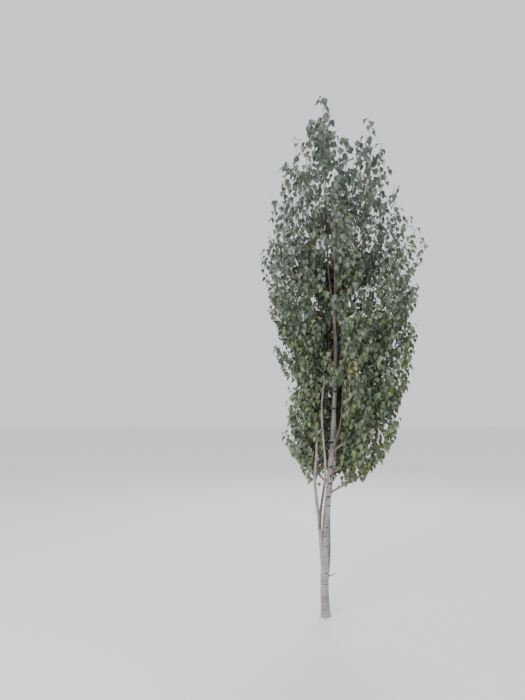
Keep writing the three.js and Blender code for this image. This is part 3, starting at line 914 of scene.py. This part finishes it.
def curl_shape(name, turn):
    """A strip of paper bark that lies on the trunk at one end and curls away at the other. X runs
    round the trunk, Y up and Z outwards."""
    vertices = []
    for t in np.linspace(0, 1, CURL_STEPS + 1):
        x = CURL_LENGTH * math.sin(turn * t) / turn
        z = CURL_LENGTH * (1 - math.cos(turn * t)) / turn - BARK_SINK
        half = CURL_WIDTH / 2 * (1 - CURL_NARROWING * t)
        vertices += [(x, -half, z), (x, 0.7 * half, z)]
    mesh = new_mesh(name, vertices, [(i, i + 2, i + 3, i + 1) for i in range(0, 2 * CURL_STEPS, 2)])
    shade_smooth(mesh)
    return mesh


def lenticel_shape(name, length):
    """A raised, lens-shaped pore that lies level across the bark."""
    angles = [math.pi / 4 * k for k in range(8)]
    vertices = [(length / 2 * math.cos(a), PORE_HEIGHT / 2 * math.sin(a), -BARK_SINK) for a in angles]
    vertices += [(-length / 4, 0, PORE_RISE), (length / 4, 0, PORE_RISE)]
    faces = [(k, (k + 1) % 8, 8 if 2 <= k < 6 else 9) for k in range(8)]
    faces += [(9, 2, 8), (8, 6, 9), tuple(range(7, -1, -1))]
    return new_mesh(name, vertices, faces)


def shape_collection(name, meshes):
    """The shapes that a scatter deals out, in the order of their names."""
    shapes = bpy.data.collections.new(name)
    for mesh in meshes:
        shapes.objects.link(bpy.data.objects.new(mesh.name, mesh))
    return shapes


def on_bark(line, radii, span, counts, seed):
    """Rows for pores and curls dealt out over a limb's bark, with the numbers of each in counts."""
    length = lengths_along(line)[-1]
    random = seeded(seed)
    rows = []
    for tint, (kinds, count) in enumerate(zip(DETAIL_KINDS, counts)):
        for _ in range(count):
            at = between(span, random)
            turn = 2 * math.pi * next(random)
            centre, _ = point_at(line, at)
            place = centre + towards(turn) * radii(at / length, centre[2], turn)
            kind = kinds[int(next(random) * len(kinds))]
            size = spread(next(random), DETAIL_SIZE_PLAY)
            lean = (next(random) - 0.5) * DETAIL_LEAN
            rows.append((place, (math.pi / 2, lean, turn + math.pi / 2), size, kind, tint, next(random)))
    return rows


def leaf_tint(spray, height):
    """A spray's tint number: dark and greyish at the top of the tree, with yellower greens lower down."""
    seed, twig = spray
    random = seeded(seed * 31 + twig * 7 + 5)
    next(random)
    lift = 1 - smooth(height, *TINT_HEIGHTS)
    value = next(random) * (TINT_RANGE + TINT_RANGE_GAIN * lift) + TINT_LIFT * lift
    if next(random) < YELLOW_ODDS_GAIN * lift + YELLOW_ODDS:
        value += YELLOW_LIFT
    return int(min(max(value, 0), len(LEAF_TINTS) - 1))


def trunk_radii(share, height, angles):
    """The trunk's radii, asked for as a limb's are."""
    return trunk_radius(height, angles)


def tapered(thick, thin):
    """The radii of a limb that thins evenly."""
    return lambda share, height, angles: blend(thick, thin, share) * np.ones_like(angles)


def turn_from(angle, angles):
    """The turn from an angle to each of the others, by half a turn at most."""
    return (angles - angle + math.pi) % (2 * math.pi) - math.pi


def scar_ring(place, angles, base, relief, marks, knots):
    """Adds the scars' and knots' relief to a ring at a place along its limb, and gives its black."""
    dark = np.zeros(len(angles))
    for at, angle, width, height in marks:
        if abs(at - place) <= 3 * height:
            x = turn_from(angle, angles) * base
            drop = place - at + SCAR_BOW * np.abs(x) + SCAR_WAVE * height * np.sin(x * 900 + at * 70)
            spot = np.exp(-((x / (0.5 * width)) ** 2) - (drop / (0.42 * height)) ** 2)
            dark = np.maximum(dark, spot)
            lip = SCAR_LIP * np.exp(-((x / (0.6 * width)) ** 4))
            relief += lip * np.exp(-((drop / height - 0.6) ** 2) * 4)
            relief -= SCAR_DEPTH * spot
    for at, angle, width, height in knots:
        if abs(at - place) <= 3 * height:
            x = turn_from(angle, angles) * base
            relief += KNOT_SWELL * width * np.exp(-((x / width) ** 2) - ((place - at) / height) ** 2)
    return dark


def tube_faces(rings, sides):
    """The faces of a tube of rings, closed by two further points, one at each end."""
    faces = []
    for i in range(rings - 1):
        for k in range(sides):
            a, b = i * sides + k, i * sides + (k + 1) % sides
            faces.append((a, b, b + sides, a + sides))
    low, last = rings * sides, (rings - 1) * sides
    for k in range(sides):
        faces.append((low, (k + 1) % sides, k))
        faces.append((low + 1, last + k, last + (k + 1) % sides))
    return faces


def bark_skin(line, radii, sides, marks, knots, level=False, seed=1, brown=NOT_BROWN, young=YOUNG_RADII):
    """A closed skin round a line, with how young and how scarred it is at each point. marks are black
    scars and knots are swellings: (distance along, angle, width, height)."""
    along = lengths_along(line)
    angles = np.arange(sides) * 2 * math.pi / sides
    tangents = np.gradient(line, axis=0)
    tangents /= np.linalg.norm(tangents, axis=1)[:, None]
    right, back = np.array([1.0, 0, 0]), np.array([0, 1.0, 0])
    vertices, youth, scar = [], [], []
    wavy = np.random.default_rng(seed)
    ripples = [
        (wavy.integers(*RIPPLE_TURNS), *(wavy.uniform(*ends) for ends in RIPPLE_RANGES))
        for _ in range(RIPPLES)
    ]
    for i, centre in enumerate(line):
        if not level:
            right = unit(right - tangents[i] * (right @ tangents[i]))
            back = np.cross(tangents[i], right)
        base = radii(along[i] / along[-1], centre[2], angles)
        relief = np.zeros(sides)
        for turns, rate, phase, depth in ripples:
            relief += depth * np.sin(turns * angles + rate * along[i] + phase)
        relief *= RIPPLE_SHARE * base
        scar.append(scar_ring(along[i], angles, base, relief, marks, knots))
        reach = base + relief * (min(1, along[i] / FOOT_FADE) if level else 1)
        ring = centre + np.outer(np.cos(angles) * reach, right)
        vertices.append(ring + np.outer(np.sin(angles) * reach, back))
        copper = brown[0] * (1 - smooth(centre[2], *brown[1:]))
        youth.append(np.maximum(1 - smooth(base, *young), copper))
    points = np.vstack([*vertices, line[:1], line[-1:]])
    ends = np.zeros(2)
    return points, tube_faces(len(line), sides), np.concatenate([*youth, ends]), np.concatenate([*scar, ends])


def join_skins(name, skins, material):
    """One piece from several skins."""
    points, faces, young, scar = zip(*skins)
    starts = np.cumsum([0, *map(len, points)]).tolist()
    joined = [tuple(i + start for i in face) for start, own in zip(starts, faces) for face in own]
    mesh = new_mesh(name, np.vstack(points), joined)
    mesh.materials.append(material)
    give(mesh, "young", np.concatenate(young))
    give(mesh, "scar", np.concatenate(scar))
    shade_smooth(mesh)
    return new_object(name, mesh)


def leaving(line, carrier, radii):
    """Where a limb comes out of its carrier's bark: the distance along the carrier and the angle."""
    for point in evenly(line, 0.004):
        gap = np.linalg.norm(carrier - point, axis=1)
        i = int(gap.argmin())
        if gap[i] > radii[i]:
            out = point - carrier[i]
            return lengths_along(carrier)[i], math.atan2(out[1], out[0])
    return 0.0, 0.0


def line_piece(name, limbs, group):
    """Tubes from lines with end radii, as one piece."""
    points, edges, radii = [], [], []
    for line, thick, thin in limbs:
        line = evenly(line, TWIG_RINGS)
        start = len(points)
        points += list(line)
        edges += [(start + i, start + i + 1) for i in range(len(line) - 1)]
        radii += list(np.linspace(thick, thin, len(line)))
    mesh = new_mesh(name, points, edges=edges)
    give(mesh, "thick", radii)
    return baked(new_object(name, mesh), group, "Sides", TWIG_SIDES)


def scattered(name, rows, group, shapes):
    """Shapes set on points: each row is a place, a turn, a size, a kind, a tint and a tone."""
    places, *columns = zip(*rows)
    mesh = new_mesh(name, places)
    for (label, kind), values in zip(ROW_VALUES.items(), columns):
        give(mesh, label, values, kind)
    return baked(new_object(name, mesh), group, "Shapes", shapes)


# The limbs' lines and end radii, and how each mass's shoot leaves its carrier
LIMBS = {}
for name, stem in STEMS.items():
    carried = [egg for egg in EGGS if egg["carrier"] == name]
    line = evenly(curve_through([*stem["line"], *[egg["root"] for egg in carried]]), STEM_RINGS)
    LIMBS[name] = (line, stem["radii"])
    for egg in carried:
        egg["arrive"] = unit(line[-1] - line[-2])
        egg["thick"] = stem["radii"][1]
for egg in EGGS:
    if egg["carrier"] is None:
        line, ends, egg["arrive"] = bough_of(egg)
        egg["thick"] = ends[1]
        LIMBS[f"bough_{egg['label']}"] = (evenly(line, BOUGH_RINGS), ends)
EGGS[-1].update(root=TRUNK[-1], arrive=UP, thick=trunk_radius(TRUNK[-1, 2], 0))

# The trunk with its scars, knots and dead stub
BARK = bark_material()
trunk_low = evenly(TRUNK[TRUNK[:, 2] < TRUNK_FINE_TOP], TRUNK_RINGS[0])
trunk_high = evenly(TRUNK[TRUNK[:, 2] >= TRUNK_FINE_TOP - 0.03], TRUNK_RINGS[1])
trunk_rings = np.vstack([trunk_low, trunk_high[trunk_high[:, 2] > trunk_low[-1, 2] + 0.004]])
ring_radii = trunk_radius(trunk_rings[:, 2], 0.0)
trunk_knots = []
trunk_marks = [(z, math.radians(turn), width, height) for z, turn, width, height in TRUNK_SCARS]
random = seeded(17)
for i in range(BACK_SCARS):
    height = BACK_SCAR_FIRST + BACK_SCAR_SPACING * (i + BACK_SCAR_PLAY * next(random))
    angle = math.radians(between(BACK_SCAR_TURNS, random))
    trunk_marks.append((height, angle, between(BACK_SCAR_WIDTHS, random), between(BACK_SCAR_HEIGHTS, random)))
for name, (line, (thick, _)) in LIMBS.items():
    if name != "inner_stem":
        at, angle = leaving(line, trunk_rings, ring_radii)
        trunk_knots.append((at, angle, thick * 1.3, thick * 2.4))
        if name.startswith("bough"):
            trunk_marks.append((at + thick * 1.6, angle, thick * 3.2, BOUGH_SCAR_HEIGHT))
stub_turn = math.radians(STUB["azimuth"])
trunk_knots.append((STUB["height"], stub_turn, *STUB_KNOT))
stub_reach = trunk_radius(STUB["height"], stub_turn) + STUB["length"]
stub_way = towards(stub_turn, STUB["rise"]) * stub_reach
stub_line = trunk_at(STUB["height"]) + np.linspace(0, 1, 16)[:, None] * stub_way


skins = [
    bark_skin(trunk_rings, trunk_radii, 36, trunk_marks, trunk_knots, level=True),
    bark_skin(stub_line, tapered(*STUB["radii"]), 10, [(stub_reach, 0, *STUB_SCAR)], [], seed=5),
]
finish_piece(join_skins("trunk_bark", skins, BARK), ["trunk"])


def limb_skin(name, sides, seed):
    """The skin of a lesser stem or a bough, with scars by rule and a knot under every second one."""
    line, ends = LIMBS[name]
    length = lengths_along(line)[-1]
    random = seeded(seed)
    marks = []
    at = STEM_SCAR_SPACING * 0.6
    while at < length - 0.05:
        width = blend(*ends, at / length) * 1.5
        marks.append((at, next(random) * 2 * math.pi, width, 0.006 + 0.004 * next(random)))
        at += STEM_SCAR_SPACING * (0.35 + 0.7 * next(random))
    knots = [(at, angle, *STEM_KNOT) for at, angle, _, _ in marks[::2]]
    brown = STEMS.get(name, {}).get("brown", NOT_BROWN)
    young = STEM_YOUNG_RADII if name in STEMS else YOUNG_RADII
    return bark_skin(line, tapered(*ends), sides, marks, knots, seed=seed, brown=brown, young=young)


boughs = [name for name in LIMBS if name.startswith("bough")]
for piece, names, sides, seed in [("stem_bark", list(STEMS), 20, 20), ("bough_bark", boughs, 12, 40)]:
    skins = [limb_skin(name, sides, seed + i) for i, name in enumerate(names)]
    finish_piece(join_skins(piece, skins, BARK), names)

# Raised pores and curls of paper on the trunk and the stems
bark_rows = on_bark(TRUNK, trunk_radii, TRUNK_BARK_SPAN, TRUNK_BARK_COUNTS, 61)
for i, name in enumerate(STEMS):
    line, ends = LIMBS[name]
    span = [share * lengths_along(line)[-1] for share in STEM_BARK_SPAN]
    bark_rows += on_bark(line, tapered(*ends), span, STEM_BARK_COUNTS, 71 + i)
pores = [lenticel_shape(f"a_pore_{i}", length) for i, length in enumerate(PORE_LENGTHS)]
curls = [curl_shape(f"b_curl_{i}", turn) for i, turn in enumerate(CURL_TURNS)]
cork = flake_material("birch_lenticel_cork", LENTICEL_DARK, LENTICEL)
paper = flake_material("birch_paper_curl", PAPER, PAPER_PALE)
bark_shapes = shape_collection("bark_shapes", pores + curls)
flakes = scatter_group("pores_and_curls", [cork, paper])
bark_details = scattered("bark_details", bark_rows, flakes, bark_shapes)
finish_piece(bark_details, ["trunk", *STEMS])


def tier_growth(members, tier):
    """The limbs and leaves of a tier's masses, and of the limbs that carry them or leaf with them."""
    grown = []
    for index in members:
        egg = EGGS[index]
        carrier = egg["carrier"] or f"bough_{egg['label']}"
        grown += [grow_mass(index), grow_inside(carrier, egg["seed"])]
    grown += [grow_inside(name, stem["seed"]) for name, stem in STEMS.items() if stem.get("tier") == tier]
    return [limb for limbs, _ in grown for limb in limbs], [leaf for _, leaves in grown for leaf in leaves]


# The foliage, tier by tier
TWIG_SKIN = twig_group(twig_material())
leaf_skins = [leaf_material(i, *pair) for i, pair in enumerate(LEAF_TINTS, 1)]
LEAF_SCATTER = scatter_group("leaves_on_twigs", leaf_skins)
leaf_kinds = [leaf_shape(f"leaf_kind_{i}", *kind) for i, kind in enumerate(LEAF_KINDS)]
leaf_shapes = shape_collection("leaf_shapes", leaf_kinds)
for tier, *_ in TIERS:
    members = [i for i, egg in enumerate(EGGS) if egg["tier"] == tier]
    nodes = [f"foliage_{EGGS[i]['label']}" for i in members]
    limbs, leaves = tier_growth(members, tier)
    rows = []
    for point, azimuth, tilt, roll, size, spray in leaves:
        grown_size = LEAF_SIZE + LEAF_SIZE_GAIN * smooth(point[2], *SIZE_HEIGHTS)
        turn = ((tilt - 0.5) * LEAF_TILT_PLAY, (roll - 0.5) * LEAF_ROLL_PLAY, azimuth - math.pi / 2)
        kind = int((size * 7.3 + roll * 3.1) % 1 * len(LEAF_KINDS))
        tint = leaf_tint(spray, point[2])
        rows.append((point, turn, grown_size * spread(size, LEAF_SIZE_PLAY), kind, tint, tilt))
    finish_piece(line_piece(f"twigs_{tier}", limbs, TWIG_SKIN), nodes)
    finish_piece(scattered(f"leaves_{tier}", rows, LEAF_SCATTER, leaf_shapes), nodes)

# The floor, the lights and the camera
pale, pale_tree, pale_surface = new_material("pale_floor")
feed(pale_tree, pale_surface, {"Base Color": colour("#F2F2F0"), "Roughness": 0.9})
corners = [(-60, -60, 0), (60, -60, 0), (60, 60, 0), (-60, 60, 0)]
floor = new_object("floor", new_mesh("floor", corners, [(0, 1, 2, 3)]))
floor.data.materials.append(pale)

world = bpy.data.worlds.new("studio")
world.use_nodes = True
sky = world.node_tree
feed(sky, sky.nodes["Background"], {"Color": colour("#E4E6EA"), "Strength": 1.3})
bpy.context.scene.world = world


def area_light(name, place, aim, size, power):
    light = bpy.data.lights.new(name, "AREA")
    light.size = size
    light.energy = power
    made = new_object(name, light)
    made.location = place
    made.rotation_euler = (made.location - Vector(aim)).to_track_quat("Z", "Y").to_euler()


area_light("front_light", (-4.5, -6, 6.5), (0.1, 0, 2.2), 5, 420)
area_light("back_light", (1.5, 6.5, 8), (0.1, 0, 3), 4, 380)

camera = new_object("camera", bpy.data.cameras.new("camera"))
camera.data.lens = CAMERA_LENS
camera.location = CAMERA_PLACE
camera.rotation_euler = (math.pi / 2 + CAMERA_RISE, 0, 0)
bpy.context.scene.camera = camera

bpy.context.view_layer.update()
